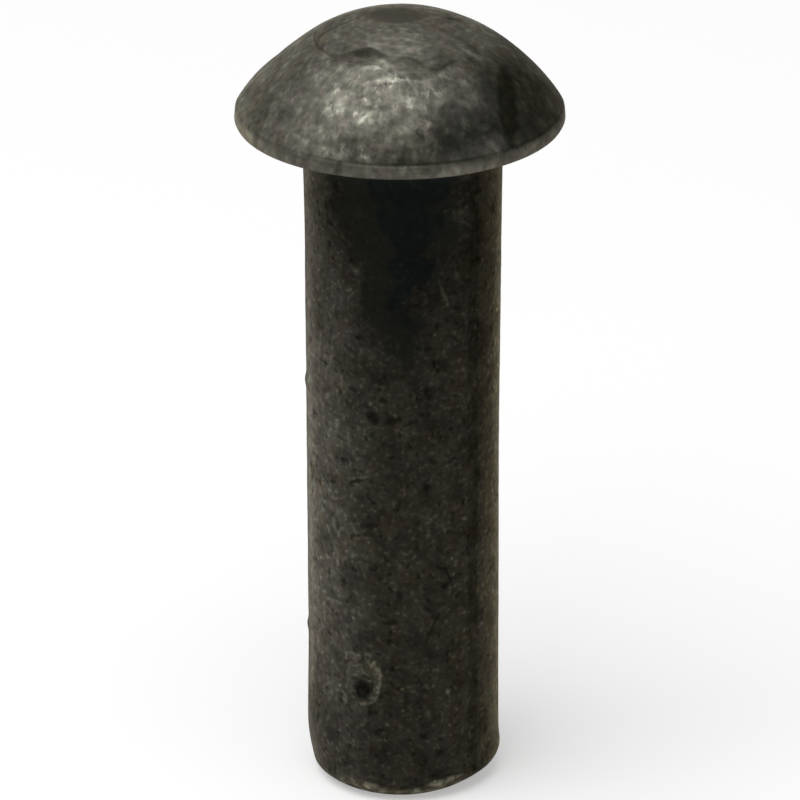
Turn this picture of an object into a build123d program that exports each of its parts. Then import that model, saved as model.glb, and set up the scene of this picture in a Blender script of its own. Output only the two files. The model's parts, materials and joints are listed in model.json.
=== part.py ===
"""Round head rivet, 6 x 22 mm: one piece of cold-headed steel wire, standing on its sheared end.

Origin: where the shank's axis crosses the bearing face under the head. +Z runs up the axis
towards the head, so the shank hangs below Z = 0. -Y is the front, the side with the dent.
All sizes are in millimetres.
"""
from math import cos, degrees, radians, sin, sqrt
import os

from build123d import *

# Shank
shank_diameter = 6.0
shank_length = 22.0  # bearing face to sheared end
neck_swell = 0.08  # how far the wire bulged into the mouth of the die, on the radius
neck_length = 4.5  # over which that bulge dies away
neck_fillet = 0.25  # in the corner between shank and bearing face

# Head
head_diameter = 10.15
head_height = 3.34  # bearing face to the flat on the crown
head_offset = 0.05  # the punch struck this far off the shank's axis, towards -X
crown_flat_diameter = 1.6
crown_radius = 5.45  # arc over the top of the head
crown_half_angle = 36.7  # degrees from the head's axis to where the crown arc ends
rim_land = 0.38  # upright band round the head's edge
rim_top_rounding = 0.2
rim_bottom_rounding = 0.15

# Sheared end
end_rounding = 0.85
rollover_length = 2.0  # the blade drew the wall in over this much of its entry side
rollover_depth = 0.25  # by this much at the end face
rollover_clear = 0.01  # the drawn-in arc starts this far outside the wall, and crosses it
rollover_shift = 0.12  # and its axis lies this far towards +X, so that it fades out round the shank

# Dent: a struck pit in a heaped-up oval lip
dent_bearing = 24.6  # degrees from the front towards -X
dent_above_end = 4.28  # sheared end to the middle of the lip
lip_length = 1.55  # along the shank
lip_width = 1.05  # across it
lip_height = 0.05
pit_diameter = 0.6
pit_depth = 0.13
pit_drop = 0.26  # the pit sits this far below the middle of the lip

shank_radius = shank_diameter / 2
neck_radius = shank_radius + neck_swell
head_radius = head_diameter / 2
end_level = -shank_length
straight_down = (0, -1)

# The crown arc is centred on the head's axis and starts at the edge of the crown flat. The flank
# leaves it at the shoulder without a corner and runs down to the top of the rim land.
flat_radius = crown_flat_diameter / 2
crown_centre = head_height - sqrt(crown_radius**2 - flat_radius**2)
shoulder_angle = radians(crown_half_angle)
shoulder = Vector(crown_radius * sin(shoulder_angle), crown_centre + crown_radius * cos(shoulder_angle))
downhill = Vector(cos(shoulder_angle), -sin(shoulder_angle))

# The drawn-in arc, as radii about its own axis
drawn_radius = shank_radius + rollover_shift + rollover_clear
drawn_end_radius = shank_radius + rollover_shift - rollover_depth
waste_radius = drawn_radius + shank_radius

# The lip is the proud back of a bent bar buried in the shank. The lip's width and height say how
# thick the bar is and how deep it lies, and its length and height say how sharply it bends.
lip_half_width = lip_width / 2
sagitta = shank_radius - sqrt(shank_radius**2 - lip_half_width**2)
bar_depth = (sagitta**2 + lip_half_width**2 - lip_height**2) / (2 * (lip_height + sagitta))
bar_radius = bar_depth + lip_height
bend_radius = ((lip_length / 2) ** 2 + lip_height**2) / (2 * lip_height)
bend_angle = degrees(lip_length / bend_radius)

# The pit is the print of a ball that fits its edge and its floor.
ball_radius = ((pit_diameter / 2) ** 2 + pit_depth**2) / (2 * pit_depth)

bearing = radians(dent_bearing)
outward = Vector(-sin(bearing), -cos(bearing), 0)
across = outward.cross(Vector(0, 0, 1))
dent_level = end_level + dent_above_end
ball_middle = outward * (shank_radius - pit_depth + ball_radius) + Vector(0, 0, dent_level - pit_drop)
bend_middle = outward * (shank_radius + lip_height - bend_radius) + Vector(0, 0, dent_level)
bend_axis = Axis(bend_middle, across)
bar_end = outward.rotate(Axis((0, 0, 0), across), -bend_angle)

# Upright section planes through each round form's own axis
head_plane = Plane((-head_offset, 0, 0), x_dir=(1, 0, 0), z_dir=(0, -1, 0))
drawn_plane = Plane((rollover_shift, 0, end_level), x_dir=(1, 0, 0), z_dir=(0, -1, 0))
bar_plane = Plane(bend_middle, x_dir=bar_end, z_dir=across.cross(bar_end))

with BuildPart() as rivet:
    # The wire, from the sheared end up into the head
    with BuildSketch(Plane.XZ) as wire_section:
        with BuildLine():
            core = Line((0, rim_land), (0, end_level))
            end = Line(core @ 1, (shank_radius, end_level))
            wall = Line(end @ 1, (shank_radius, -neck_length))
            neck = TangentArc(wall @ 1, (neck_radius, 0), tangent=wall % 1)
            buried = Line(neck @ 1, (neck_radius, rim_land))
            Line(buried @ 1, core @ 0)
        make_face()
        fillet(wire_section.vertices().sort_by_distance(end @ 1)[0], end_rounding)
    revolve(axis=Axis.Z)

    # The head: bearing face, rim land, flank, crown and the flat on top
    with BuildSketch(head_plane) as head_section:
        with BuildLine():
            underside = Line((0, 0), (head_radius, 0))
            land = Line(underside @ 1, (head_radius, rim_land))
            flank = TangentArc(shoulder, land @ 1, tangent=downhill)
            crown = TangentArc(shoulder, (flat_radius, head_height), tangent=-downhill)
            flat = Line(crown @ 1, (0, head_height))
            Line(flat @ 1, underside @ 0)
        make_face()
        fillet(head_section.vertices().sort_by_distance(land @ 1)[0], rim_top_rounding)
        fillet(head_section.vertices().sort_by_distance(land @ 0)[0], rim_bottom_rounding)
    revolve(axis=Axis(head_plane.origin, (0, 0, 1)))

    bearing_face = rivet.faces().filter_by(Plane.XY).sort_by(SortBy.AREA)[-1]
    fillet(bearing_face.inner_wires().edges(), neck_fillet)

    # The wall on the side where the shearing blade went in
    with BuildSketch(drawn_plane):
        with BuildLine():
            top = Line((drawn_radius, rollover_length), (waste_radius, rollover_length))
            outside = Line(top @ 1, (waste_radius, 0))
            bottom = Line(outside @ 1, (drawn_end_radius, 0))
            TangentArc(top @ 0, bottom @ 1, tangent=straight_down)
        make_face()
    revolve(axis=Axis(drawn_plane.origin, (0, 0, 1)), mode=Mode.SUBTRACT)

    # The dent's lip, then its pit
    with BuildSketch(bar_plane):
        with Locations((bend_radius - bar_radius, 0)):
            Circle(bar_radius)
    revolve(axis=bend_axis, revolution_arc=2 * bend_angle)
    with Locations(ball_middle):
        Sphere(ball_radius, mode=Mode.SUBTRACT)

rivet.part.label = "rivet"
os.makedirs("parts", exist_ok=True)
export_step(rivet.part, "parts/rivet.step")
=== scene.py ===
"""Round head rivet: a cold-headed steel rivet with worn black scale, standing on its sheared end.

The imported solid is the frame: its box and its mounts give the sizes that both share. Geometry Nodes
turn the rivet's outline into the worn piece with its crease, dent and burrs, and that piece stands
for the plain solid. Sizes are in metres, and the tables of marks are in millimetres. +Z runs up
towards the head and -Y is the front.
"""

import json
from math import acos, asin, atan2, cos, pi, radians, sin, sqrt

import bpy
from bpy.props import FloatProperty, FloatVectorProperty, IntProperty, PointerProperty
from mathutils import Matrix, Vector


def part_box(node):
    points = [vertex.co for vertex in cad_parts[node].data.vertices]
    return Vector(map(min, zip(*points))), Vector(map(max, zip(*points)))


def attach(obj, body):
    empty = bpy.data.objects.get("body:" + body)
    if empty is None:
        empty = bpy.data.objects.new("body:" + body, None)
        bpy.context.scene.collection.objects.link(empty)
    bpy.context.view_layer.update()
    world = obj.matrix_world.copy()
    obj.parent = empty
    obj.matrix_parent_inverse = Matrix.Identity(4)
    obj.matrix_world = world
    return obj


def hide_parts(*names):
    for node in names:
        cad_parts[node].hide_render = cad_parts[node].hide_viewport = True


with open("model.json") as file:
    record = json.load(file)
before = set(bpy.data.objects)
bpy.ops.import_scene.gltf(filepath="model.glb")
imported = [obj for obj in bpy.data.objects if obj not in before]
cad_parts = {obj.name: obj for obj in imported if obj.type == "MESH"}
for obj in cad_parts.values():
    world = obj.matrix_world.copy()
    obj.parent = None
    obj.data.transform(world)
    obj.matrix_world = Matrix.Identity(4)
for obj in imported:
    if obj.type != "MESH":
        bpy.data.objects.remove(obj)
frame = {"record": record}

bl_info = {
    "name": "Round head rivet",
    "version": (1, 0, 0),
    "blender": (4, 5, 0),
    "location": "3D View > Sidebar > Rivet",
    "description": "Builds a worn round head rivet and the stage it stands on",
    "category": "Object",
}

MM = 0.001
LOW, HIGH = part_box("rivet")
SHANK = next(mount for mount in frame["record"]["mounts"] if mount["name"] == "shank")
SHANK_RADIUS = SHANK["dims"]["r_mm"] * MM
FLOOR_LEVEL = LOW.z
WHITE = (1.0, 1.0, 1.0, 1.0)


# -------- node trees as Python expressions


class Value:
    """A node's output that takes part in Python expressions, which add the Math nodes they need."""

    def __init__(self, graph, socket):
        self.graph = graph
        self.socket = socket

    def __add__(self, other):
        return self.graph.math("ADD", self, other)

    def __sub__(self, other):
        return self.graph.math("SUBTRACT", self, other)

    def __rsub__(self, other):
        return self.graph.math("SUBTRACT", other, self)

    def __mul__(self, other):
        return self.graph.math("MULTIPLY", self, other)

    def __truediv__(self, other):
        return self.graph.math("DIVIDE", self, other)

    def __rtruediv__(self, other):
        return self.graph.math("DIVIDE", other, self)

    def __neg__(self):
        return self.graph.math("MULTIPLY", self, -1.0)

    __radd__ = __add__
    __rmul__ = __mul__


class Graph:
    """Adds nodes to one tree, of shaders or of geometry."""

    def __init__(self, tree):
        self.tree = tree

    def add(self, kind, sockets=None, output=0, **settings):
        """A node of any type. Its settings come first, then the values and links of its sockets."""
        node = self.tree.nodes.new(kind)
        for name, setting in settings.items():
            setattr(node, name, setting)
        for key, value in (sockets or {}).items():
            if isinstance(value, Value):
                self.tree.links.new(value.socket, node.inputs[key])
            else:
                node.inputs[key].default_value = value
        return Value(self, node.outputs[output]) if len(node.outputs) else node

    def math(self, operation, *terms):
        """A Math node on numbers."""
        return self.add("ShaderNodeMath", dict(enumerate(terms)), operation=operation)

    def vector(self, operation, *terms):
        """A Vector Math node on vectors or colours."""
        return self.add("ShaderNodeVectorMath", dict(enumerate(terms)), operation=operation)

    def scaled(self, vector, factor):
        """A vector or a colour times a number."""
        return self.add("ShaderNodeVectorMath", {0: vector, "Scale": factor}, operation="SCALE")

    def size(self, vector):
        """The length of a vector."""
        return self.add("ShaderNodeVectorMath", {0: vector}, output=1, operation="LENGTH")

    def dot(self, vector, way):
        """How far a vector reaches along a fixed one."""
        return self.add("ShaderNodeVectorMath", {0: vector, 1: way}, output=1, operation="DOT_PRODUCT")

    def parts(self, vector):
        """The three components of a vector."""
        node = self.add("ShaderNodeSeparateXYZ", {0: vector}).socket.node
        return [Value(self, socket) for socket in node.outputs]

    def joined(self, x, y, z):
        """A vector made of three components."""
        return self.add("ShaderNodeCombineXYZ", {0: x, 1: y, 2: z})

    def mixed(self, first, second, share):
        """Two colours, by the share of the second."""
        return self.add("ShaderNodeMix", {0: share, 4: first, 5: second}, output=1, data_type="VECTOR")

    def rise(self, value, start, end, low=0.0, high=1.0):
        """Goes smoothly from low to high while the value goes from start to end."""
        sockets = {0: value, 1: start, 2: end, 3: low, 4: high}
        return self.add("ShaderNodeMapRange", sockets, interpolation_type="SMOOTHSTEP")

    def hump(self, value, middle, spread):
        """1 at the middle, falling away smoothly on both sides of it."""
        offset = (value - middle) / spread
        return self.math("EXPONENT", -(offset * offset))

    def rise_round(self, bearing, start, end):
        """A rise from one bearing to another, in degrees."""
        return self.rise(bearing, radians(start), radians(end))

    def hump_round(self, bearing, middle, spread):
        """A hump about a bearing, in degrees."""
        return self.hump(bearing, radians(middle), radians(spread))

    def bearing(self, x, y):
        """The angle round the axis: 0 in front, and growing towards the right."""
        return self.math("ARCTAN2", x, -y)

    def hypot(self, x, y):
        """How far a point at x and y lies from the origin."""
        return self.math("SQRT", x * x + y * y)

    def shifted(self, point, seed):
        """The point moved to a stretch of noise of its own."""
        return self.vector("ADD", point, (seed * 0.137, seed * -0.211, seed * 0.173))

    def noise(self, point, size, seed, detail=2.0, roughness=0.5, output=0):
        """Cloudy noise with blobs of about the size given, from 0 to 1 and mostly near a half."""
        sockets = {
            "Vector": self.shifted(point, seed),
            "Scale": 1 / size,
            "Detail": detail,
            "Roughness": roughness,
        }
        return self.add("ShaderNodeTexNoise", sockets, output)

    def chips(self, point, size, reach, chosen, seed):
        """Small chips: 1 in the middle of a chosen share of the cells of a cell noise."""
        node = self.add("ShaderNodeTexVoronoi", {"Vector": self.shifted(point, seed), "Scale": 1 / size})
        sockets = node.socket.node.outputs
        near = self.rise(Value(self, sockets["Distance"]), reach, 0.4 * reach)
        draw, _, _ = self.parts(Value(self, sockets["Color"]))
        return near * self.rise(draw, 1 - chosen, 1 - 0.5 * chosen)


def emptied(owner):
    """The node tree of a material or a world, with nothing in it yet."""
    owner.use_nodes = True
    owner.node_tree.nodes.clear()
    return Graph(owner.node_tree)


# -------- sizes and colours


def length(name, description, default):
    """A size that the user can change."""
    return FloatProperty(
        name=name, description=description, default=default, unit="LENGTH", subtype="DISTANCE", precision=5
    )


def turn(name, description, default):
    """An angle that the user can change, with its default in degrees."""
    return FloatProperty(
        name=name, description=description, default=radians(default), unit="ROTATION", subtype="ANGLE"
    )


def colour(name, description, default):
    """A colour that the user can change."""
    return FloatVectorProperty(
        name=name, description=description, default=default, size=3, min=0.0, max=1.0, subtype="COLOR"
    )


class RivetShape(bpy.types.PropertyGroup):
    """The outline of the rivet, and the marks that forming and shearing left on it."""

    shank_radius: length("Shank radius", "Radius of the plain shank", SHANK_RADIUS)
    shank_length: length("Shank length", "Bearing face to sheared end", -LOW.z)
    neck_swell: length("Neck swell", "How far the wire bulged into the die, on the radius", 0.08 * MM)
    neck_length: length("Neck length", "Over which the neck swell dies away", 4.5 * MM)
    neck_fillet: length("Neck fillet", "Between shank and bearing face", 0.25 * MM)
    head_radius: length("Head radius", "Half the width of the head", (HIGH.y - LOW.y) / 2)
    head_height: length("Head height", "Bearing face to crown flat", HIGH.z)
    crown_flat: length("Crown flat", "Radius of the flat on the crown", 0.8 * MM)
    crown_radius: length("Crown radius", "Arc over the top of the head", 5.45 * MM)
    crown_half_angle: turn("Crown half angle", "Where the crown's arc ends, from the axis", 36.7)
    rim_land: length("Rim land", "Height of the upright band round the head", 0.38 * MM)
    rim_top_rounding: length("Rim top rounding", "Between flank and land", 0.2 * MM)
    rim_bottom_rounding: length("Rim bottom rounding", "Between land and bearing face", 0.15 * MM)
    end_rounding: length("End rounding", "Round the sheared end", 0.85 * MM)
    turns: IntProperty(name="Turns", description="Columns of the mesh round the axis", default=264, min=32)
    rows: IntProperty(name="Rows", description="Rows of the mesh along the outline", default=376, min=64)


class RivetWear(bpy.types.PropertyGroup):
    """Named inputs of the node tree that wears the rivet."""

    head_offset: length("Head offset", "Head's axis off the shank's, towards -X", -(LOW.x + HIGH.x) / 2)
    rollover_length: length("Roll-over length", "Wall drawn in by the blade, from the end up", 2.0 * MM)
    rollover_depth: length("Roll-over depth", "How far it is drawn in at the end", 0.25 * MM)
    rollover_shift: length("Roll-over shift", "Its axis off the shank's, towards +X", 0.12 * MM)
    crease_radius: length("Crease radius", "Of the ring pressed into the crown by the punch", 2.65 * MM)
    crease_depth: length("Crease depth", "Of the ring in the crown", 0.03 * MM)
    land_crease_depth: length("Land crease depth", "Of the line above the rim land", 0.025 * MM)
    dent_bearing: turn("Dent bearing", "From the front towards -X", 24.6)
    dent_above_end: length("Dent above end", "Sheared end to the middle of the dent", 4.28 * MM)
    lip_height: length("Lip height", "Metal heaped up round the pit", 0.05 * MM)
    pit_depth: length("Pit depth", "Of the struck pit", 0.13 * MM)
    pit_drop: length("Pit drop", "The pit below the middle of the dent", 0.26 * MM)
    set_right: length("Neck set", "How much fuller the neck is on the right", 0.075 * MM)
    set_left: length("Foot set", "How much fuller the foot is on the left", 0.05 * MM)
    shoulder_flat: length("Shoulder flat", "How much the left shoulder lies lower", 0.07 * MM)
    end_skew: length("End skew", "How much higher the break left the end on the right", 0.11 * MM)
    corner_burr: length("Corner burr", "Metal that the break left on the right corner", 0.055 * MM)
    rim_notch: length("Rim notch", "Depth of the nick in the rim land", 0.035 * MM)
    lump_depth: length("Lump depth", "Of the broad unevenness of the forged skin", 0.03 * MM)
    pock_depth: length("Pock depth", "Of the small pocks in the skin", 0.012 * MM)
    burr_height: length("Burr height", "Of the scuffs raised on the shank", 0.045 * MM)


class RivetFinish(bpy.types.PropertyGroup):
    """Colours of the skin, from bare steel to black scale, and its gloss; some also carry painted light and
    shade.
    """

    rubbed_steel: colour("Rubbed steel", "Crown and flanks of the head", (0.193, 0.186, 0.162))
    # Dark scale, also used for painted shade and a painted dark reflection on the head
    dark_scale_and_shade: colour("Dark scale", "What is left in the hollows of the head", (0.0205, 0.0200, 0.0142))
    land_steel: colour("Land steel", "Upright band round the head", (0.112, 0.106, 0.090))
    handled_scale: colour("Handled scale", "Front of the shank", (0.0272, 0.0250, 0.0196))
    # Grey of the left side, with painted sheen in it
    grey_side_and_sheen: colour("Grey side", "Left side of the shank", (0.130, 0.123, 0.110))
    back_scale: colour("Back scale", "Back of the shank", (0.062, 0.057, 0.044))
    # Brown of the right side, with painted sheen in it
    brown_side_and_sheen: colour("Brown side", "Right side of the shank", (0.098, 0.088, 0.060))
    # These two carry dark scale and the head's painted shadow on the shank
    black_scale_and_shadow: colour("Black scale", "Unworn scale under the head", (0.0072, 0.0090, 0.0086))
    thin_scale_and_shade: colour("Thin scale", "Round the black scale, hardly handled", (0.0119, 0.0126, 0.0101))
    brown_tint: colour("Brown tint", "What a thin oxide does to the skin", (1.0, 0.82, 0.55))
    olive_tint: colour("Olive tint", "Cast of the older scale", (0.97, 1.0, 0.94))
    rose_tint: colour("Rose tint", "Cast of the younger scale", (1.0, 0.96, 0.95))
    bright_edge: colour("Bright edge", "Rounding of the sheared end", (0.150, 0.135, 0.106))
    roughness: FloatProperty(
        name="Roughness", description="Of the skin at its middle height", default=0.52, min=0.0, max=1.0
    )


class RivetStage(bpy.types.PropertyGroup):
    """Camera, floor and lamps."""

    camera_elevation: turn("Camera elevation", "Above the horizon", 24.0)
    camera_distance: length("Camera distance", "From the point looked at", 228.0 * MM)
    camera_aim: FloatVectorProperty(
        name="Camera aim",
        description="The point looked at",
        default=(-0.083 * MM, 0.0, -9.42 * MM),
        size=3,
        unit="LENGTH",
        subtype="TRANSLATION",
        precision=6,
    )
    camera_roll: turn("Camera roll", "About the line of sight", -0.25)
    lens: FloatProperty(
        name="Lens", description="Focal length in millimetres", default=329.85, unit="CAMERA"
    )
    floor_radius: length("Floor radius", "Of the round floor", 4.0)
    floor_colour: colour("Floor", "Colour of the floor", (0.72, 0.72, 0.72))
    floor_lift: FloatProperty(
        name="Floor lift", description="Light added to the floor where it is seen", default=0.37
    )
    key_power: FloatProperty(
        name="Key power", description="Of the large soft lamp above", default=1.3, unit="POWER"
    )
    sky_level: FloatProperty(name="Sky level", description="Brightness of the room above", default=0.34)


# -------- the outline


def arc(centre, radius, start, end, steps=24):
    """Points on an arc from one angle to another, each measured from the outward direction."""
    angles = [start + (end - start) * step / steps for step in range(steps + 1)]
    return [(centre[0] + radius * cos(a), centre[1] + radius * sin(a)) for a in angles]


def rivet_outline(shape):
    """Radius and height of each point, from the middle of the crown down to the middle of the end."""
    crown_centre = (0.0, shape.head_height - sqrt(shape.crown_radius**2 - shape.crown_flat**2))
    flat_edge = acos(shape.crown_flat / shape.crown_radius)
    shoulder_angle = pi / 2 - shape.crown_half_angle
    crown = arc(crown_centre, shape.crown_radius, flat_edge, shoulder_angle)

    # The flank is the arc that leaves the shoulder without a corner and ends on top of the land.
    shoulder = Vector(crown[-1])
    inward = Vector((-cos(shoulder_angle), -sin(shoulder_angle)))
    chord = Vector((shape.head_radius, shape.rim_land)) - shoulder
    flank_radius = chord.length_squared / (2 * inward.dot(chord))
    flank_centre = shoulder + inward * flank_radius

    # Its corner with the land is rounded by an arc that touches both.
    top_r = shape.rim_top_rounding
    reach = shape.head_radius - top_r - flank_centre.x
    top_level = flank_centre.y + sqrt((flank_radius - top_r) ** 2 - reach**2)
    top_centre = Vector((shape.head_radius - top_r, top_level))
    touch = atan2(top_centre.y - flank_centre.y, top_centre.x - flank_centre.x)
    flank = arc(flank_centre, flank_radius, shoulder_angle, touch)
    rim_top = arc(top_centre, top_r, touch, 0.0, steps=8)

    low_r = shape.rim_bottom_rounding
    rim_bottom = arc((shape.head_radius - low_r, low_r), low_r, 0.0, -pi / 2, steps=8)

    neck_radius = shape.shank_radius + shape.neck_swell
    corner = shape.neck_fillet
    neck_corner = arc((neck_radius + corner, -corner), corner, pi / 2, pi, steps=8)
    swell_radius = (shape.neck_length**2 + shape.neck_swell**2) / (2 * shape.neck_swell)
    swell_centre = (shape.shank_radius + swell_radius, -shape.neck_length)
    swell_angle = asin((shape.neck_length - corner) / swell_radius)
    swell = arc(swell_centre, swell_radius, pi - swell_angle, pi, steps=12)

    end_r = shape.end_rounding
    end_level = -shape.shank_length
    end_corner = arc((shape.shank_radius - end_r, end_level + end_r), end_r, 0.0, -pi / 2)
    points = [(0.0, shape.head_height), *crown, *flank[1:], *rim_top[1:], *rim_bottom, *neck_corner]
    return [*points, *swell[1:], *end_corner, (0.0, end_level)]


# -------- the worn form


# Points closer than this are merged, which closes the seam and the two poles
SEAM_GAP = 0.0008 * MM

# How far the ring in the crown swings out and in across the front
RING_OUT = 0.33 * MM
RING_IN = 0.22 * MM

# Heights of the scuffs on the left, and bearing and spread of the burrs at the foot, in degrees
SCUFF_HEIGHTS = (-8.7 * MM, -17.1 * MM)
FOOT_BURRS = ((-26, 11), (26, 13))


def turned_outline(graph, outline, turns, rows):
    """The outline swept once round the axis."""
    sockets = {"Size X": 1.0, "Size Y": 1.0, "Vertices X": turns, "Vertices Y": rows}
    grid = graph.add("GeometryNodeMeshGrid", sockets)
    across, along, _ = graph.parts(graph.add("GeometryNodeInputPosition"))
    curve = graph.add("GeometryNodeMeshToCurve", {"Mesh": outline})
    sockets = {"Curves": curve, "Factor": along + 0.5}
    sampled = graph.add("GeometryNodeSampleCurve", sockets, "Position", mode="FACTOR")
    radius, _, height = graph.parts(sampled)
    bearing = across * (2 * pi)
    right = radius * graph.math("SINE", bearing)
    place = graph.joined(right, -(radius * graph.math("COSINE", bearing)), height)
    swept = graph.add("GeometryNodeSetPosition", {"Geometry": grid, "Position": place})
    closed = graph.add("GeometryNodeMergeByDistance", {"Geometry": swept, "Distance": SEAM_GAP})
    return graph.add("GeometryNodeFlipFaces", {"Mesh": closed})


def struck_head(graph, solid, size):
    """The whole head moved off the shank's axis; the bearing face takes up the shift."""
    place = graph.add("GeometryNodeInputPosition")
    x, y, z = graph.parts(place)
    radius = graph.size(graph.joined(x, y, 0.0))
    share = graph.math("MAXIMUM", graph.rise(z, 0.0, 0.15 * MM), graph.rise(radius, 3.4 * MM, 4.4 * MM))
    offset = graph.joined(-(size["head_offset"] * share), 0.0, 0.0)
    return graph.add("GeometryNodeSetPosition", {"Geometry": solid, "Offset": offset})


def drawn_in_end(graph, solid, size):
    """The wall drawn in by the blade: nowhere does it stand outside a barrel about a shifted axis."""
    x, y, z = graph.parts(graph.add("GeometryNodeInputPosition"))
    clear = 0.01 * MM
    blend = 0.03 * MM
    above_end = z - FLOOR_LEVEL
    fall = graph.math("MAXIMUM", 1 - above_end / size["rollover_length"], 0.0)
    barrel = SHANK_RADIUS + size["rollover_shift"] + clear - size["rollover_depth"] * fall * fall
    dx = x - size["rollover_shift"]
    radius = graph.hypot(dx, y)
    limit = graph.math("SMOOTH_MIN", radius, barrel, blend)
    keep = graph.rise(above_end, 1.4 * size["rollover_length"], size["rollover_length"])
    ratio = 1 + (limit / graph.math("MAXIMUM", radius, clear) - 1) * keep
    place = graph.joined(dx * ratio + size["rollover_shift"], y * ratio, z)
    return graph.add("GeometryNodeSetPosition", {"Geometry": solid, "Position": place})


def skewed_end(graph, solid, size):
    """The break left the end a little higher on the right."""
    x, y, z = graph.parts(graph.add("GeometryNodeInputPosition"))
    bearing = graph.bearing(x, y)
    radius = graph.size(graph.joined(x, y, 0.0))
    share = graph.hump_round(bearing, 50, 32) * graph.rise(radius, 0.6 * MM, 2.2 * MM)
    lift = size["end_skew"] * share * graph.rise(z - FLOOR_LEVEL, 0.9 * MM, 0.1 * MM)
    return graph.add("GeometryNodeSetPosition", {"Geometry": solid, "Offset": graph.joined(0.0, 0.0, lift)})


def ring_radius(graph, bearing, radius):
    """The ring that the punch pressed into the crown: it swings in, then out, across the front."""
    out = graph.hump_round(bearing, 10, 20)
    return radius + RING_OUT * out - RING_IN * graph.hump_round(bearing, -17, 10)


def wear_depth(graph, size):
    """How far each point of the skin lies above (+) or below (-) the clean form."""
    place = graph.add("GeometryNodeInputPosition")
    x, y, z = graph.parts(place)
    x = x + size["head_offset"] * graph.rise(z, 0.0, 0.1 * MM)
    radius = graph.hypot(x, y)
    bearing = graph.bearing(x, y)
    on_head = graph.rise(z, 0.05 * MM, 0.3 * MM)
    on_shank = graph.rise(z, -0.3 * MM, -0.9 * MM)
    on_shank = on_shank * graph.rise(z, FLOOR_LEVEL + 0.02 * MM, FLOOR_LEVEL + 0.3 * MM)

    lumps = graph.noise(place, 1.6 * MM, 3.0, detail=1.0)
    pocks = graph.noise(place, 0.35 * MM, 5.0)
    skin = -(size["lump_depth"] * lumps * on_head) - size["pock_depth"] * pocks * (on_head + on_shank)
    shank_lumps = graph.noise(place, 2.2 * MM, 8.0, detail=1.0)
    skin = skin + (shank_lumps - 0.5) * size["lump_depth"] * on_shank

    ring = ring_radius(graph, bearing, size["crease_radius"])
    crease = graph.hump(radius, ring, 0.08 * MM) * graph.rise(z, 1.4 * MM, 1.8 * MM)
    crease = crease * (1 - 0.7 * graph.hump_round(bearing, 80, 40))
    land_line = graph.hump(z, 0.50 * MM, 0.05 * MM) * graph.rise(radius, 4.7 * MM, 4.9 * MM)
    land_line = land_line * (0.35 + 0.65 * graph.hump_round(bearing, 5, 48))
    skin = skin - crease * size["crease_depth"] - land_line * size["land_crease_depth"]

    # The forming left the neck fuller on the right, the left shoulder flatter and the foot fuller there
    off_back = graph.rise_round(graph.math("ABSOLUTE", bearing), 178, 145)
    neck = graph.hump_round(bearing, 90, 50) * graph.hump(z, -3.2 * MM, 4.6 * MM) * off_back
    shoulder = graph.hump_round(bearing, -100, 45) * graph.hump(radius, 3.8 * MM, 1.0 * MM) * off_back
    foot = graph.hump_round(bearing, -90, 45) * graph.hump(z, -20.3 * MM, 1.7 * MM)
    skin = skin + (size["set_right"] * neck + size["set_left"] * foot) * on_shank
    skin = skin - size["shoulder_flat"] * shoulder * graph.rise(z, 1.0 * MM, 1.6 * MM)

    # The dent, in a plane laid on the wall: round the shank, and up it from the dent's middle
    around = (bearing + size["dent_bearing"]) * SHANK_RADIUS
    up = z - FLOOR_LEVEL - size["dent_above_end"]
    jagged = (graph.noise(place, 0.3 * MM, 14.0) - 0.5) * 0.5
    egg_around = around / (0.52 * MM)
    egg_up = up / (0.84 * MM)
    egg = graph.hypot(egg_around, egg_up) + jagged
    lip = graph.hump(egg, 0.86, 0.2) * graph.rise(around, -0.55 * MM, -0.1 * MM, low=0.35)
    pit_up = up + size["pit_drop"]
    pit_reach = graph.hypot(around, pit_up) + jagged * (0.12 * MM)
    pit = graph.rise(pit_reach, 0.4 * MM, 0.2 * MM)
    wall = graph.rise(z, -0.5 * MM, -1.0 * MM)
    skin = skin + (size["lip_height"] * lip - size["pit_depth"] * pit) * wall

    # Scuffs on the left of the shank, and burrs round its foot
    for height in SCUFF_HEIGHTS:
        scuff = graph.hump_round(bearing, -92, 7) * graph.hump(z, height, 0.16 * MM)
        skin = skin + size["burr_height"] * scuff
    for middle, spread in FOOT_BURRS:
        burr = graph.hump_round(bearing, middle, spread) * graph.hump(z, -21.62 * MM, 0.16 * MM)
        skin = skin + size["burr_height"] * 0.7 * burr * (0.4 + pocks)

    # The corner that the break left on the right, and a nick in the rim land
    corner = graph.hump_round(bearing, 75, 25) * graph.hump(z, -21.15 * MM, 0.3 * MM)
    nick = graph.hump_round(bearing, -21.3, 1.2) * graph.hump(z, 0.32 * MM, 0.10 * MM)
    return skin + size["corner_burr"] * corner - size["rim_notch"] * nick


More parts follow.
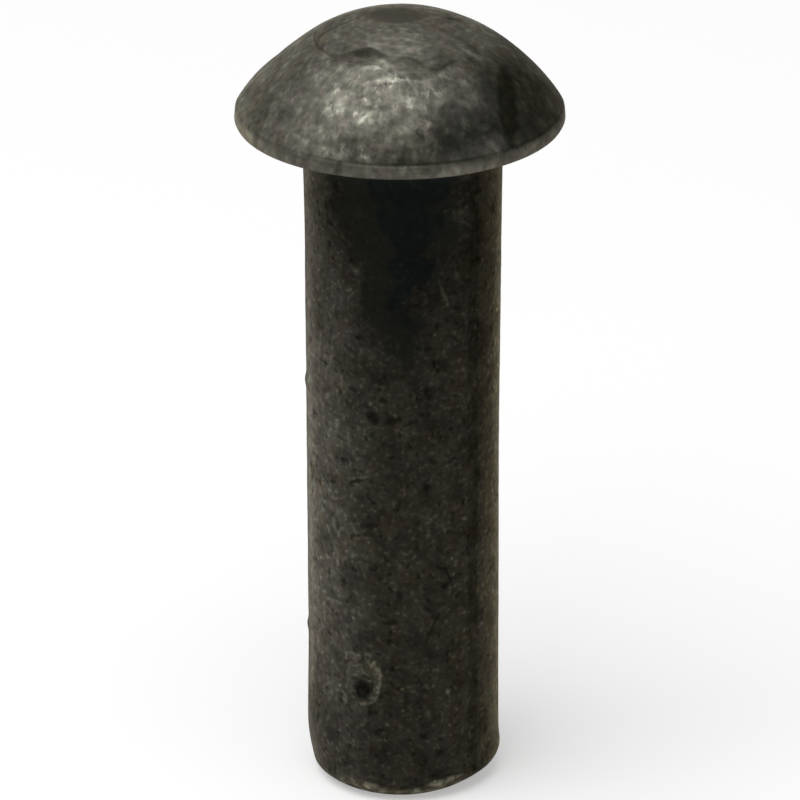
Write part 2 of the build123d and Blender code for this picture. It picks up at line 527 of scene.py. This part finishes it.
def form_tree(material):
    """The node tree that turns the rivet's outline into the worn rivet."""
    tree = bpy.data.node_groups.new("worn_rivet", "GeometryNodeTree")
    tree.interface.new_socket("Outline", in_out="INPUT", socket_type="NodeSocketGeometry")
    for name in ("turns", "rows"):
        tree.interface.new_socket(name, in_out="INPUT", socket_type="NodeSocketInt")
    for name in RivetWear.__annotations__:
        tree.interface.new_socket(name, in_out="INPUT", socket_type="NodeSocketFloat")
    tree.interface.new_socket("Rivet", in_out="OUTPUT", socket_type="NodeSocketGeometry")

    graph = Graph(tree)
    given = tree.nodes.new("NodeGroupInput")
    size = {socket.name: Value(graph, socket) for socket in given.outputs if socket.name}
    rivet = turned_outline(graph, size["Outline"], size["turns"], size["rows"])
    rivet = struck_head(graph, rivet, size)
    rivet = drawn_in_end(graph, rivet, size)
    rivet = skewed_end(graph, rivet, size)
    outward = graph.scaled(graph.add("GeometryNodeInputNormal"), wear_depth(graph, size))
    rivet = graph.add("GeometryNodeSetPosition", {"Geometry": rivet, "Offset": outward})
    rivet = graph.add("GeometryNodeSetShadeSmooth", {"Geometry": rivet})
    rivet = graph.add("GeometryNodeRealizeInstances", {"Geometry": rivet})
    rivet = graph.add("GeometryNodeSetMaterial", {"Geometry": rivet, "Material": material})
    graph.add("NodeGroupOutput", {0: rivet})
    return tree


def formed_rivet(shape, wear, material):
    """The worn rivet as a plain mesh object."""
    points = [(radius, 0.0, height) for radius, height in rivet_outline(shape)]
    outline = bpy.data.meshes.new("rivet_outline")
    outline.from_pydata(points, [(i, i + 1) for i in range(len(points) - 1)], [])
    worn = bpy.data.objects.new("rivet_worn", outline)
    bpy.context.scene.collection.objects.link(worn)
    modifier = worn.modifiers.new("wear", "NODES")
    tree = form_tree(material)
    modifier.node_group = tree
    values = {"turns": shape.turns, "rows": shape.rows}
    values.update({name: getattr(wear, name) for name in RivetWear.__annotations__})
    for socket in tree.interface.items_tree:
        if socket.in_out == "INPUT" and socket.name in values:
            modifier[socket.identifier] = values[socket.name]
    evaluated = worn.evaluated_get(bpy.context.evaluated_depsgraph_get())
    mesh = bpy.data.meshes.new_from_object(evaluated)
    mesh.name = "rivet_worn"
    worn.modifiers.clear()
    worn.data = mesh
    bpy.data.meshes.remove(outline)
    bpy.data.node_groups.remove(tree)
    return worn


# -------- the finish


def wandering(graph, place, size, reach, seed):
    """The place pushed about by cloudy noise, so that the marks drawn on it get ragged edges."""
    push = graph.noise(place, size, seed, detail=3.0, roughness=0.6, output="Color")
    push = graph.vector("SUBTRACT", push, (0.5, 0.5, 0.5))
    return graph.vector("ADD", place, graph.scaled(push, 2 * reach))


def spot(graph, chart, at, half_size, tilt, soft):
    """1 inside an oval on a flat chart of the surface, fading to 0 across its edge. Sizes are in mm."""
    local = graph.vector("SUBTRACT", chart, (at[0] * MM, at[1] * MM, 0.0))
    length_way = Vector((cos(radians(tilt)), sin(radians(tilt)), 0.0)) / (half_size[0] * MM)
    width_way = Vector((-sin(radians(tilt)), cos(radians(tilt)), 0.0)) / (half_size[1] * MM)
    along = graph.dot(local, length_way)
    across = graph.dot(local, width_way)
    return graph.rise(graph.hypot(along, across), 1 + soft, 1 - soft)


def blended_point(graph, first, second, share):
    """A point part of the way from one to another."""
    return graph.vector("ADD", first, graph.scaled(graph.vector("SUBTRACT", second, first), share))


def blended(tone, value, share):
    """A tone drawn towards a value by a share."""
    return share * (value - tone) + tone


def marked(graph, tone, chart, marks):
    """A tone with oval marks on it, each a factor at a place on a flat chart."""
    for at, half_size, tilt, factor in marks:
        tone = tone * (1 + (factor - 1) * spot(graph, chart, at, half_size, tilt, 0.5))
    return tone


def lines(graph, place, size, width, seed):
    """Thin wandering lines, where a cloudy noise passes through its middle value."""
    level = graph.noise(place, size, seed, detail=1.5)
    return graph.rise(graph.math("ABSOLUTE", level - 0.5), width, 0.2 * width)


def ticks(graph, place, size, width, seed):
    """Short curved strokes: wandering lines broken up."""
    stroke = lines(graph, place, size, width, seed)
    return stroke * graph.rise(graph.noise(place, 0.6 * size, seed + 0.5), 0.5, 0.6)


# Marks on the shank: place round the wall and height, half sizes, tilt, factor. In millimetres and degrees.
SHANK_MARKS = (
    ((-0.91, -8.76), (0.20, 0.20), 0, 0.35),
    ((-0.30, -8.80), (0.26, 0.12), 15, 0.55),
    ((-0.62, -8.15), (0.13, 0.10), 0, 0.55),
    ((-0.22, -8.62), (0.06, 0.09), 20, 2.4),
    ((-0.19, -9.10), (0.09, 0.08), 0, 2.2),
    ((-1.45, -10.98), (0.36, 0.06), 22, 0.5),
    ((-1.30, -10.82), (0.30, 0.05), 22, 1.6),
    ((-1.05, -12.42), (0.34, 0.10), 8, 0.55),
    ((-1.10, -12.86), (0.14, 0.07), 0, 1.5),
    ((-2.26, -14.00), (0.06, 0.11), 0, 2.2),
    ((-1.89, -13.48), (0.09, 0.05), 40, 1.9),
    ((-2.50, -13.20), (0.06, 0.55), 26, 1.4),
    ((2.06, -12.42), (0.12, 0.06), -30, 2.4),
    ((-0.41, -15.67), (0.26, 0.09), 5, 0.6),
    ((-0.16, -14.80), (0.09, 0.22), 0, 0.7),
    ((1.45, -18.19), (0.11, 0.07), 0, 3.6),
    ((-1.52, -3.90), (0.10, 0.24), 38, 1.9),
    ((1.33, -4.75), (0.06, 0.38), 18, 2.2),
    ((1.39, -1.93), (0.12, 0.05), 0, 2.6),
    ((1.75, -2.20), (0.34, 0.30), 0, 1.7),
    ((3.26, -8.09), (0.20, 0.16), 0, 0.6),
    ((2.62, -11.20), (0.20, 0.28), 0, 0.6),
    ((-1.62, -16.93), (0.26, 0.05), 4, 1.7),
    ((-1.80, -17.32), (0.05, 0.30), -10, 1.4),
    ((-0.80, -20.30), (0.50, 0.30), 0, 0.8),
    ((-0.10, -16.60), (0.16, 0.60), 0, 0.8),
)

# Marks on the head: place in plan, to the right and to the front, and the rest as above
HEAD_MARKS = (
    # Scale left in the foot of the front and on the rim
    ((1.85, 3.92), (1.05, 0.50), -26, 0.38),
    ((0.05, 3.32), (0.85, 0.26), 4, 0.85),
    ((0.55, 4.42), (0.30, 0.12), 0, 0.8),
    ((1.15, 3.90), (0.42, 0.35), 0, 0.7),
    ((2.72, 3.20), (0.42, 0.42), 0, 0.6),
    ((1.48, 4.38), (0.28, 0.15), 0, 0.75),
    ((1.05, 4.20), (0.14, 0.09), 0, 0.65),
    ((0.58, 4.34), (0.11, 0.11), 0, 0.6),
    ((0.80, 3.97), (0.26, 0.06), 5, 0.65),
    ((1.40, 3.60), (0.30, 0.14), -40, 0.65),
    ((-0.65, 4.38), (0.26, 0.12), 0, 0.75),
    ((-1.75, 4.35), (0.50, 0.16), 12, 0.65),
    ((-0.90, 4.70), (0.60, 0.12), 6, 0.65),
    ((0.15, 4.90), (0.26, 0.07), 0, 0.7),
    ((-2.45, 3.95), (0.30, 0.12), 30, 0.7),
    ((-4.22, 2.20), (0.20, 0.62), 28, 0.62),
    ((-3.60, 2.70), (0.42, 0.36), 0, 0.78),
    ((-1.84, 4.72), (0.10, 0.12), 0, 0.6),
    # Flecks rubbed bright in front, with painted highlights on them
    ((-1.80, 3.35), (0.17, 0.20), 0, 1.25),
    ((-1.85, 4.00), (0.42, 0.09), -68, 1.35),
    ((-0.97, 3.90), (0.22, 0.07), -29, 1.3),
    ((-0.57, 4.03), (0.07, 0.14), 0, 1.4),
    ((0.30, 3.58), (0.46, 0.10), 14, 1.3),
    ((1.94, 3.33), (0.18, 0.09), 0, 1.5),
    ((0.40, 4.55), (0.45, 0.10), 0, 1.3),
    # A painted glint along the outside of the ring, and a darker line just outside it
    ((-0.20, 3.00), (0.75, 0.05), 0, 1.4),
    ((-0.45, 3.12), (0.40, 0.04), 0, 0.6),
    # Round the crown; the dark marks just inside the ring in front deepen its painted shade crescent
    ((-2.05, 0.08), (0.70, 0.06), -16, 0.6),
    ((1.70, -0.40), (0.30, 0.13), -35, 0.5),
    ((2.20, 1.15), (0.30, 0.12), 30, 0.75),
    ((2.20, 1.80), (0.24, 0.14), 20, 0.75),
    ((2.22, 1.52), (0.34, 0.07), 22, 1.4),
    ((1.55, 1.85), (0.55, 0.45), 0, 0.82),
    ((-1.55, 1.45), (0.60, 0.30), 20, 0.78),
    ((-0.95, 1.95), (0.28, 0.16), 10, 0.75),
    ((-1.35, 1.72), (0.45, 0.20), 32, 0.72),
    ((-1.35, 2.42), (0.36, 0.20), 0, 0.82),
    ((-0.62, 2.50), (0.26, 0.22), 0, 1.9),
    ((1.18, 2.50), (0.38, 0.16), -22, 0.62),
    ((0.70, 2.30), (0.50, 0.28), 0, 0.7),
    ((1.30, 2.15), (0.35, 0.22), -25, 0.8),
    ((-0.50, 1.68), (0.48, 0.05), 26, 1.4),
    ((0.20, 1.00), (0.75, 0.45), 0, 1.28),
    ((2.40, 1.95), (0.42, 0.50), 0, 0.82),
    ((3.75, 0.10), (0.50, 1.00), 0, 1.32),
    ((-1.30, 0.30), (0.95, 0.45), 0, 1.2),
)


def dent_tone(graph, wall, wear):
    """The lip of the dent is rubbed bright, most of all on its right, and painted shade darkens its pit."""
    at = (-wear.dent_bearing * SHANK_RADIUS / MM, FLOOR_LEVEL / MM + wear.dent_above_end / MM)
    outer = spot(graph, wall, at, (0.60, 0.92), 0, 0.08)
    inner = spot(graph, wall, (at[0] - 0.08, at[1] - 0.02), (0.44, 0.74), 0, 0.16)
    # Painted shade darkens the pit
    pit = spot(graph, wall, (at[0] - 0.08, at[1] - wear.pit_drop / MM - 0.12), (0.27, 0.27), 0, 0.3)
    around, _, _ = graph.parts(wall)
    lip = outer * (1 - inner) * graph.rise(around, (at[0] - 0.5) * MM, (at[0] + 0.1) * MM, low=0.3)
    lip = lip * graph.rise(graph.noise(wall, 0.22 * MM, 38.0), 0.38, 0.62, low=0.2, high=1.6)
    return (1 + 1.6 * lip + 0.3 * inner) * (1 - 0.75 * pit)


def shank_colour(graph, finish, bearing, sharp_bearing, z):
    """Colour of the handled shank by bearing and height, with painted sheen on its sides, painted light and
    a painted dark reflection down it, and painted shade towards the head.
    """
    below = -z
    side = graph.math("ABSOLUTE", bearing)
    start = graph.rise(below, 1.5 * MM, 5.5 * MM, low=radians(-38), high=radians(-8))
    left = graph.rise(bearing, start, radians(-85))
    right = graph.rise_round(bearing, 50, 85)
    back = graph.rise_round(side, 100, 165)
    # The sides are paler with painted sheen over their own tints: grey on the left, brown on the right
    colour = graph.mixed(finish.handled_scale, finish.grey_side_and_sheen, left)
    colour = graph.mixed(colour, finish.brown_side_and_sheen, right)
    colour = graph.mixed(colour, finish.back_scale, back)
    # A painted dark reflection in a stripe down the right of the front, and a painted highlight in a streak
    # down the left
    painted_reflection_stripe = graph.rise_round(sharp_bearing, 40, 44) * graph.rise_round(sharp_bearing, 51, 49.5)
    painted_reflection_stripe = painted_reflection_stripe * graph.rise(below, 21.4 * MM, 20.9 * MM)
    level = (1 - 0.30 * painted_reflection_stripe) * (1 + 0.6 * graph.hump_round(bearing, -74, 8))
    # The far right is paler towards the head, and the far left a little darker
    far_right = graph.rise_round(bearing, 64, 80) * graph.rise_round(side, 130, 100)
    far_right = far_right * graph.rise(below, 1.0 * MM, 3.0 * MM)
    level = level * (1 + far_right * graph.rise(below, 3.0 * MM, 17.0 * MM, low=0.9, high=0.05))
    far_left = graph.rise_round(bearing, -78, -86) * graph.rise_round(side, 130, 100)
    level = level * (1 - 0.3 * far_left)
    # Painted shade: darker towards the head, for the head's shadow on the shank
    level = level * graph.rise(below, 3.0 * MM, 9.5 * MM, low=0.6)
    # The lower right is a little paler, and so is a band round the middle
    lower_right = graph.rise(below, 11.0 * MM, 15.0 * MM) * graph.rise_round(bearing, 34, 44) * (1 - back)
    level = level * (1 + 0.25 * lower_right) * (1 + 0.08 * graph.hump(z, -14.3 * MM, 1.8 * MM))
    # It is darker again at the foot of the left side
    foot = graph.hump(z, -20.0 * MM, 1.8 * MM) * graph.hump_round(bearing, -65, 34)
    return graph.scaled(colour, level * (1 - 0.5 * foot))


def scale_and_head_shadow(graph, finish, bearing, below, clouds, sway):
    """The tongue of dark scale and painted shadow under the head, with its black core: its colour and its
    reach.
    """
    left_edge = graph.rise(below, 1.0 * MM, 4.4 * MM, low=radians(-43), high=radians(-25))
    right_edge = graph.rise(below, 1.0 * MM, 6.0 * MM, low=radians(30), high=radians(8))
    swayed = bearing + (sway - 0.5) * radians(50)
    tongue = graph.rise(swayed, left_edge - radians(12), left_edge + radians(12))
    tongue = tongue * graph.rise(swayed, right_edge + radians(16), right_edge - radians(12))
    tip = 1.5 * MM * graph.hump_round(bearing, 6, 12)
    tongue = tongue * graph.rise(below - tip, 7.2 * MM, 4.2 * MM)
    tongue = graph.rise(tongue + (clouds - 0.5) * 2.8, 0.2, 0.75)
    half_width = graph.rise(below, 0.6 * MM, 3.0 * MM, low=radians(23), high=radians(10))
    off_middle = graph.math("ABSOLUTE", swayed - radians(5))
    core = graph.rise(off_middle, half_width + radians(8), half_width - radians(6))
    core = core * graph.rise(below, 6.6 * MM, 4.6 * MM)
    core = graph.rise(core + (clouds - 0.5) * 1.6, 0.2, 0.8)
    return graph.mixed(finish.thin_scale_and_shade, finish.black_scale_and_shadow, core), tongue


# The smooth patch on the crown: its place in plan, half sizes, tilt and softness
CROWN_PATCH = ((-0.12, -0.16), (0.86, 0.66), 4, 0.2)


def head_colour(graph, finish, plan, radius, bearing, z, ring):
    """Colour of the head in plan and by height: rubbed steel, with scale left in its hollows, and painted
    light and shade.
    """
    _, front, _ = graph.parts(plan)
    # The flank to the right, darker with scale and with painted shade; the foot of the front; and a painted
    # dark reflection in a patch between them
    flank = graph.rise(radius, 2.5 * MM, 3.8 * MM) * graph.rise_round(bearing, 32, 50)
    flank = flank * graph.rise_round(bearing, 165, 85)
    worn = 1 - 0.85 * flank
    worn = worn * (1 - 0.85 * spot(graph, plan, (3.24, 2.5), (0.30, 1.25), -3, 0.25))
    foot = graph.rise(radius, 3.9 * MM, 4.6 * MM) * graph.hump_round(bearing, 3, 36)
    worn = worn * (1 - 0.66 * foot)
    middle = graph.hump_round(bearing, -5, 18) * graph.rise(radius, 3.15 * MM, 3.4 * MM)
    worn = worn * (1 - 0.25 * middle)
    # Painted shade in a crescent inside the ring, as wide as a blade in front on the left and thin
    # elsewhere
    blade = graph.hump_round(bearing, -31, 13)
    width = (0.10 + 0.56 * blade + 0.6 * graph.hump_round(bearing, 4, 17)) * MM
    painted_shade_crescent = graph.rise(radius, ring - width - 0.05 * MM, ring - width + 0.05 * MM)
    painted_shade_crescent = painted_shade_crescent * graph.rise(radius, ring + 0.02 * MM, ring - 0.06 * MM)
    depth = 0.44 + 0.28 * blade
    shown = graph.rise_round(bearing, 60, 22) * graph.rise_round(bearing, -160, -120)
    worn = worn * (1 - depth * painted_shade_crescent * shown)
    # The flat on the crown
    worn = worn * (1 - 0.34 * spot(graph, plan, *CROWN_PATCH))
    colour = graph.mixed(finish.dark_scale_and_shade, finish.rubbed_steel, worn)
    # The land is paler to the left with painted light, and painted shade darkens the crease above it
    on_rim = graph.rise(radius, 4.6 * MM, 4.8 * MM)
    painted_left_light = 1.2 * graph.hump_round(bearing, -72, 24)
    land = graph.scaled(finish.land_steel, 1 + painted_left_light + 0.3 * graph.hump_round(bearing, 20, 15))
    colour = graph.mixed(colour, land, graph.rise(z, 0.50 * MM, 0.40 * MM) * on_rim)
    crease = graph.hump(z, 0.48 * MM, 0.05 * MM) * on_rim * (0.25 + 0.75 * graph.hump_round(bearing, 5, 45))
    # A painted glint outside the ring in front and painted light on the back of the left flank; the back is
    # paler round the crown and has painted shade on its flank
    painted_glint = graph.hump(radius, ring + 0.11 * MM, 0.06 * MM) * graph.hump_round(bearing, -2, 22)
    painted_light_back_left = graph.hump_round(bearing, -105, 30) * graph.rise(radius, 2.4 * MM, 3.0 * MM)
    behind = graph.rise(front, -0.4 * MM, -1.6 * MM)
    back = (1 + 0.55 * behind) * (1 - 0.68 * behind * graph.rise(radius, 2.6 * MM, 3.8 * MM))
    return graph.scaled(colour, (1 - 0.5 * crease) * (1 + 0.6 * painted_glint) * (1 + 0.35 * painted_light_back_left) * back)


def shank_grain(graph, place, bearing, clouds):
    """Fine flakes of the handled scale: how bright each point is beside the tone, and how high."""
    lively = 1 - 0.55 * graph.hump_round(bearing, -100, 40)
    flakes = graph.noise(place, 0.17 * MM, 32.0, detail=1.0)
    light = graph.rise(flakes, 0.56, 0.74)
    dark = graph.rise(graph.noise(place, 0.3 * MM, 33.0, detail=1.0), 0.42, 0.28)
    bright = graph.chips(place, 0.5 * MM, 0.16, 0.28, 34.0)
    grain = graph.math("EXPONENT", (clouds - 0.5) * 2.4 + (flakes - 0.5) * 0.8 * lively)
    grain = grain * (0.92 + (0.5 * light + 1.2 * bright) * lively) * (1 - 0.4 * dark)
    height = 0.5 * clouds + 0.3 * flakes - 0.3 * dark + 0.25 * bright
    return grain, height


def head_grain(graph, place, plan, radius, bearing, ring):
    """Mottle and scratches of the rubbed head: down the flanks outside the ring, round inside it."""
    right, front, _ = graph.parts(plan)
    _, _, z = graph.parts(place)
    across = right / radius
    toward = front / radius
    downhill = (radius - z) * 0.45
    flow = graph.joined(across * (3.8 * MM), toward * (3.8 * MM), downhill)
    swirl = graph.joined(across * (1.1 * MM), toward * (1.1 * MM), radius * 1.5)
    clouds = graph.noise(place, 0.75 * MM, 43.0, roughness=0.6)
    fine = graph.noise(place, 0.2 * MM, 45.0, detail=1.0)
    # Outside the ring: flecks in clusters
    specks = graph.noise(flow, 0.24 * MM, 41.0, roughness=0.6)
    fleck = graph.rise(specks, 0.53, 0.64) - 0.35 * graph.rise(specks, 0.44, 0.36)
    cluster = graph.rise(graph.noise(place, 0.8 * MM, 44.0, detail=1.0), 0.38, 0.62)
    in_front = graph.hump_round(bearing, -10, 55)
    flecks = fleck * (0.5 + 0.5 * cluster) * (0.3 + 0.35 * in_front)
    # Inside it: wisps round the crown
    wisp = graph.rise(graph.noise(swirl, 0.28 * MM, 42.0, detail=1.5, roughness=0.6), 0.42, 0.72)
    inside = graph.rise(radius, ring + 0.05 * MM, ring - 0.15 * MM)
    pattern = blended(flecks, 0.5 * wisp, inside)
    cracks = ticks(graph, place, 0.9 * MM, 0.03, 48.0)
    rough_skin = 1 - 0.8 * spot(graph, plan, *CROWN_PATCH)
    contrast = blended(1.75, 1.15, inside)
    # The rim land is smoother than the rest
    smooth = graph.rise(z, 0.55 * MM, 0.40 * MM, low=1.0, high=0.7)
    grain = graph.math("EXPONENT", ((clouds - 0.5) * contrast + (fine - 0.5) * 1.1) * rough_skin * smooth)
    grain = grain * (0.9 + 0.85 * pattern * rough_skin * smooth) * (1 - 0.2 * cracks * rough_skin)
    height = (0.6 * clouds + 0.35 * pattern + 0.2 * fine - 0.1 * cracks) * rough_skin
    return grain, height - 0.8 * graph.hump(radius, ring, 0.05 * MM)


# The skin's fine relief, how much smoother its high places are, and its cast at a glancing angle
BUMP_DEPTH = 0.022 * MM
BUMP_STRENGTH = 0.6
ROUGHNESS_SWING = 0.2
EDGE_TINT = (0.6, 0.57, 0.52, 1.0)

# Bare patches at the foot of the shank, placed as its marks are, with their half sizes
END_PATCHES = ((-1.55, -21.50), (1.55, -21.42))
END_PATCH_SIZE = (0.72, 0.20)


def worn_black_steel(finish, wear):
    """Black forging scale, rubbed to grey steel on the head and stained brown in the low places, with
    painted light and shade laid into its colour.
    """
    material = bpy.data.materials.new("worn_black_steel")
    graph = emptied(material)
    place = graph.add("ShaderNodeTexCoord", output="Object")
    _, _, true_z = graph.parts(place)
    on_head = graph.rise(true_z, -0.02 * MM, 0.02 * MM)
    ragged = wandering(graph, place, 0.5 * MM, 0.16 * MM, 21.0)
    near = wandering(graph, place, 0.25 * MM, 0.05 * MM, 22.0)
    x, y, z = graph.parts(ragged)
    bearing = graph.bearing(x, y)

    clouds = graph.noise(place, 0.8 * MM, 31.0, detail=3.0, roughness=0.7)
    near_x, near_y, near_z = graph.parts(near)
    near_bearing = graph.bearing(near_x, near_y)
    wall = graph.joined(near_bearing * SHANK_RADIUS, near_z, 0.0)
    shank = shank_colour(graph, finish, bearing, near_bearing, z)
    sway = graph.noise(place, 1.1 * MM, 37.0)
    # Under the head: dark scale and the head's painted shadow, as a tongue with a black core
    scale, tongue = scale_and_head_shadow(graph, finish, bearing, -z, clouds, sway)
    shank_speckle, shank_height = shank_grain(graph, place, bearing, clouds)
    dent_x, dent_y, dent_z = graph.parts(blended_point(graph, near, ragged, 0.5))
    dent_wall = graph.joined(graph.bearing(dent_x, dent_y) * SHANK_RADIUS, dent_z, 0.0)
    shank_speckle = marked(graph, shank_speckle, wall, SHANK_MARKS) * dent_tone(graph, dent_wall, wear)
    end = graph.rise(near_z, FLOOR_LEVEL + 0.6 * MM, FLOOR_LEVEL + 0.3 * MM)
    for at in END_PATCHES:
        end = graph.math("MAXIMUM", end, spot(graph, dent_wall, at, END_PATCH_SIZE, 0, 0.4))
    end_level = 0.8 + 0.4 * graph.hump_round(bearing, 12, 30)
    patches = graph.noise(place, 0.3 * MM, 39.0)
    end_level = end_level * graph.rise(patches, 0.4, 0.6, low=0.5, high=1.3)
    shank = graph.scaled(shank, shank_speckle)
    # The tongue of scale and painted shadow laid over the shank
    shank = graph.mixed(shank, graph.scaled(scale, 0.7 + 0.3 * shank_speckle), tongue)
    # Painted light in a strip just under the head, strongest on the right
    painted_light_under_head = 1.2 + 1.5 * graph.hump_round(bearing, 48, 14)
    shank = graph.scaled(shank, 1 + painted_light_under_head * graph.hump(z, -0.3 * MM, 0.5 * MM))
    bright_end = graph.scaled(finish.bright_edge, (0.4 + 0.6 * shank_speckle) * end_level)
    shank = graph.mixed(shank, bright_end, 0.8 * end)

    head_x, head_y, _ = graph.parts(blended_point(graph, near, ragged, 0.3))
    plan = graph.joined(head_x - (LOW.x + HIGH.x) / 2, -head_y, 0.0)
    radius = graph.math("MAXIMUM", graph.size(plan), 0.1 * MM)
    head_bearing = graph.bearing(head_x, head_y)
    ring = ring_radius(graph, head_bearing, wear.crease_radius)
    head = head_colour(graph, finish, plan, radius, head_bearing, true_z, ring)
    head_speckle, head_height = head_grain(graph, place, plan, radius, head_bearing, ring)
    head = graph.scaled(head, marked(graph, head_speckle, plan, HEAD_MARKS))

    height = blended(shank_height * (1 - 0.7 * tongue), head_height, on_head)
    skin = graph.mixed(shank, head, on_head)
    stain = graph.rise(graph.noise(place, 0.7 * MM, 35.0), 0.5, 0.68) * (1 - tongue)
    skin = graph.mixed(skin, graph.vector("MULTIPLY", skin, finish.brown_tint), 0.3 * stain)
    cast = graph.rise(graph.noise(place, 0.5 * MM, 36.0, detail=1.0), 0.44, 0.66)
    skin = graph.vector("MULTIPLY", skin, graph.mixed(finish.olive_tint, finish.rose_tint, cast))

    rough = finish.roughness - ROUGHNESS_SWING * (height - 0.5)
    relief = {"Height": height, "Distance": BUMP_DEPTH, "Strength": BUMP_STRENGTH}
    bump = graph.add("ShaderNodeBump", relief)
    shader = graph.add(
        "ShaderNodeBsdfPrincipled",
        {
            "Base Color": skin,
            "Metallic": 1.0,
            "Roughness": rough,
            "Specular Tint": EDGE_TINT,
            "Normal": bump,
        },
    )
    graph.add("ShaderNodeOutputMaterial", {"Surface": shader})
    return material


# -------- the stage


def floor_finish(stage):
    """A pale floor that shows white where nothing shades it, to the eye and in reflections."""
    material = bpy.data.materials.new("pale_floor")
    graph = emptied(material)
    path = graph.add("ShaderNodeLightPath").socket.node.outputs
    seen = Value(graph, path["Is Camera Ray"])
    for kind in ("Is Glossy Ray", "Is Transmission Ray"):
        seen = graph.math("MAXIMUM", seen, Value(graph, path[kind]))
    plain = graph.add("ShaderNodeBsdfDiffuse", {"Color": (*stage.floor_colour, 1.0)})
    lift = graph.add("ShaderNodeEmission", {"Color": WHITE, "Strength": stage.floor_lift * seen})
    shader = graph.add("ShaderNodeAddShader", {0: plain, 1: lift})
    graph.add("ShaderNodeOutputMaterial", {"Surface": shader})
    return material


def studio_sky(stage):
    """A soft room: pale along the horizon, dimmer overhead."""
    world = bpy.data.worlds.new("studio")
    bpy.context.scene.world = world
    graph = emptied(world)
    _, _, up = graph.parts(graph.add("ShaderNodeTexCoord", output="Generated"))
    # It dims between 5 and 14 degrees above the horizon
    horizon_level = 0.6
    level = graph.rise(up, sin(radians(5)), sin(radians(14)), low=horizon_level, high=stage.sky_level)
    background = graph.add("ShaderNodeBackground", {"Color": WHITE, "Strength": level})
    graph.add("ShaderNodeOutputWorld", {"Surface": background})


def soft_lamp(name, azimuth, elevation, distance, size, power):
    """A square lamp aimed at the middle of the rivet, placed by bearing and height."""
    middle = (LOW + HIGH) / 2
    flat = cos(radians(elevation))
    way = Vector((sin(radians(azimuth)) * flat, -cos(radians(azimuth)) * flat, sin(radians(elevation))))
    data = bpy.data.lights.new(name, "AREA")
    data.size = size
    data.energy = power
    lamp = bpy.data.objects.new(name, data)
    lamp.location = middle + way * distance
    lamp.rotation_euler = way.to_track_quat("Z", "Y").to_euler()
    bpy.context.scene.collection.objects.link(lamp)


def set_camera(stage):
    """The camera, in front of the point looked at and above it."""
    data = bpy.data.cameras.new("camera")
    data.lens = stage.lens
    camera = bpy.data.objects.new("camera", data)
    aim = Vector(stage.camera_aim)
    elevation = stage.camera_elevation
    back = Vector((0.0, -cos(elevation), sin(elevation)))
    tilt = Matrix.Rotation(pi / 2 - elevation, 4, "X")
    roll = Matrix.Rotation(stage.camera_roll, 4, "Z")
    camera.matrix_world = Matrix.Translation(aim + back * stage.camera_distance) @ tilt @ roll
    data.clip_start = 0.01
    data.clip_end = 20.0
    bpy.context.scene.collection.objects.link(camera)
    bpy.context.scene.camera = camera


# -------- operators


class RIVET_OT_form(bpy.types.Operator):
    """Form the worn rivet in place of the plain solid"""

    bl_idname = "rivet.form"
    bl_label = "Form rivet"

    def execute(self, context):
        scene = context.scene
        material = worn_black_steel(scene.rivet_finish, scene.rivet_wear)
        worn = formed_rivet(scene.rivet_shape, scene.rivet_wear, material)
        if not worn.data.polygons:
            raise RuntimeError("the node tree made no faces")
        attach(worn, "root")
        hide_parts("rivet")
        return {"FINISHED"}


class RIVET_OT_stage(bpy.types.Operator):
    """Set up the floor, the soft lamps and the camera"""

    bl_idname = "rivet.stage"
    bl_label = "Set the stage"

    def execute(self, context):
        stage = context.scene.rivet_stage
        bpy.ops.mesh.primitive_circle_add(
            vertices=96, radius=stage.floor_radius, fill_type="NGON", location=(0.0, 0.0, FLOOR_LEVEL)
        )
        floor = context.active_object
        floor.name = "floor"
        floor.data.materials.append(floor_finish(stage))
        studio_sky(stage)
        soft_lamp("key", azimuth=-45, elevation=68, distance=0.4, size=0.38, power=stage.key_power)
        set_camera(stage)
        context.scene.view_settings.view_transform = "Standard"
        return {"FINISHED"}


class RIVET_PT_panel(bpy.types.Panel):
    """Lists the steps that build the rivet"""

    bl_label = "Round head rivet"
    bl_idname = "RIVET_PT_panel"
    bl_space_type = "VIEW_3D"
    bl_region_type = "UI"
    bl_category = "Rivet"

    def draw(self, context):
        for group in PROPERTY_GROUPS:
            settings = getattr(context.scene, group)
            for name in settings.__annotations__:
                self.layout.prop(settings, name)
        for operator in OPERATORS:
            self.layout.operator(operator.bl_idname)


PROPERTY_GROUPS = {
    "rivet_shape": RivetShape,
    "rivet_wear": RivetWear,
    "rivet_finish": RivetFinish,
    "rivet_stage": RivetStage,
}
OPERATORS = (RIVET_OT_form, RIVET_OT_stage)
CLASSES = (*PROPERTY_GROUPS.values(), *OPERATORS, RIVET_PT_panel)


def register():
    """Make the classes known, and hang the property groups on the scene."""
    for cls in CLASSES:
        bpy.utils.register_class(cls)
    for name, group in PROPERTY_GROUPS.items():
        setattr(bpy.types.Scene, name, PointerProperty(type=group))


def unregister():
    """Undo what register did."""
    for name in PROPERTY_GROUPS:
        delattr(bpy.types.Scene, name)
    for cls in reversed(CLASSES):
        bpy.utils.unregister_class(cls)


def main():
    """Build the rivet and its stage."""
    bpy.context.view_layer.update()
    register()
    bpy.ops.rivet.form()
    bpy.ops.rivet.stage()


if __name__ == "__main__":
    main()
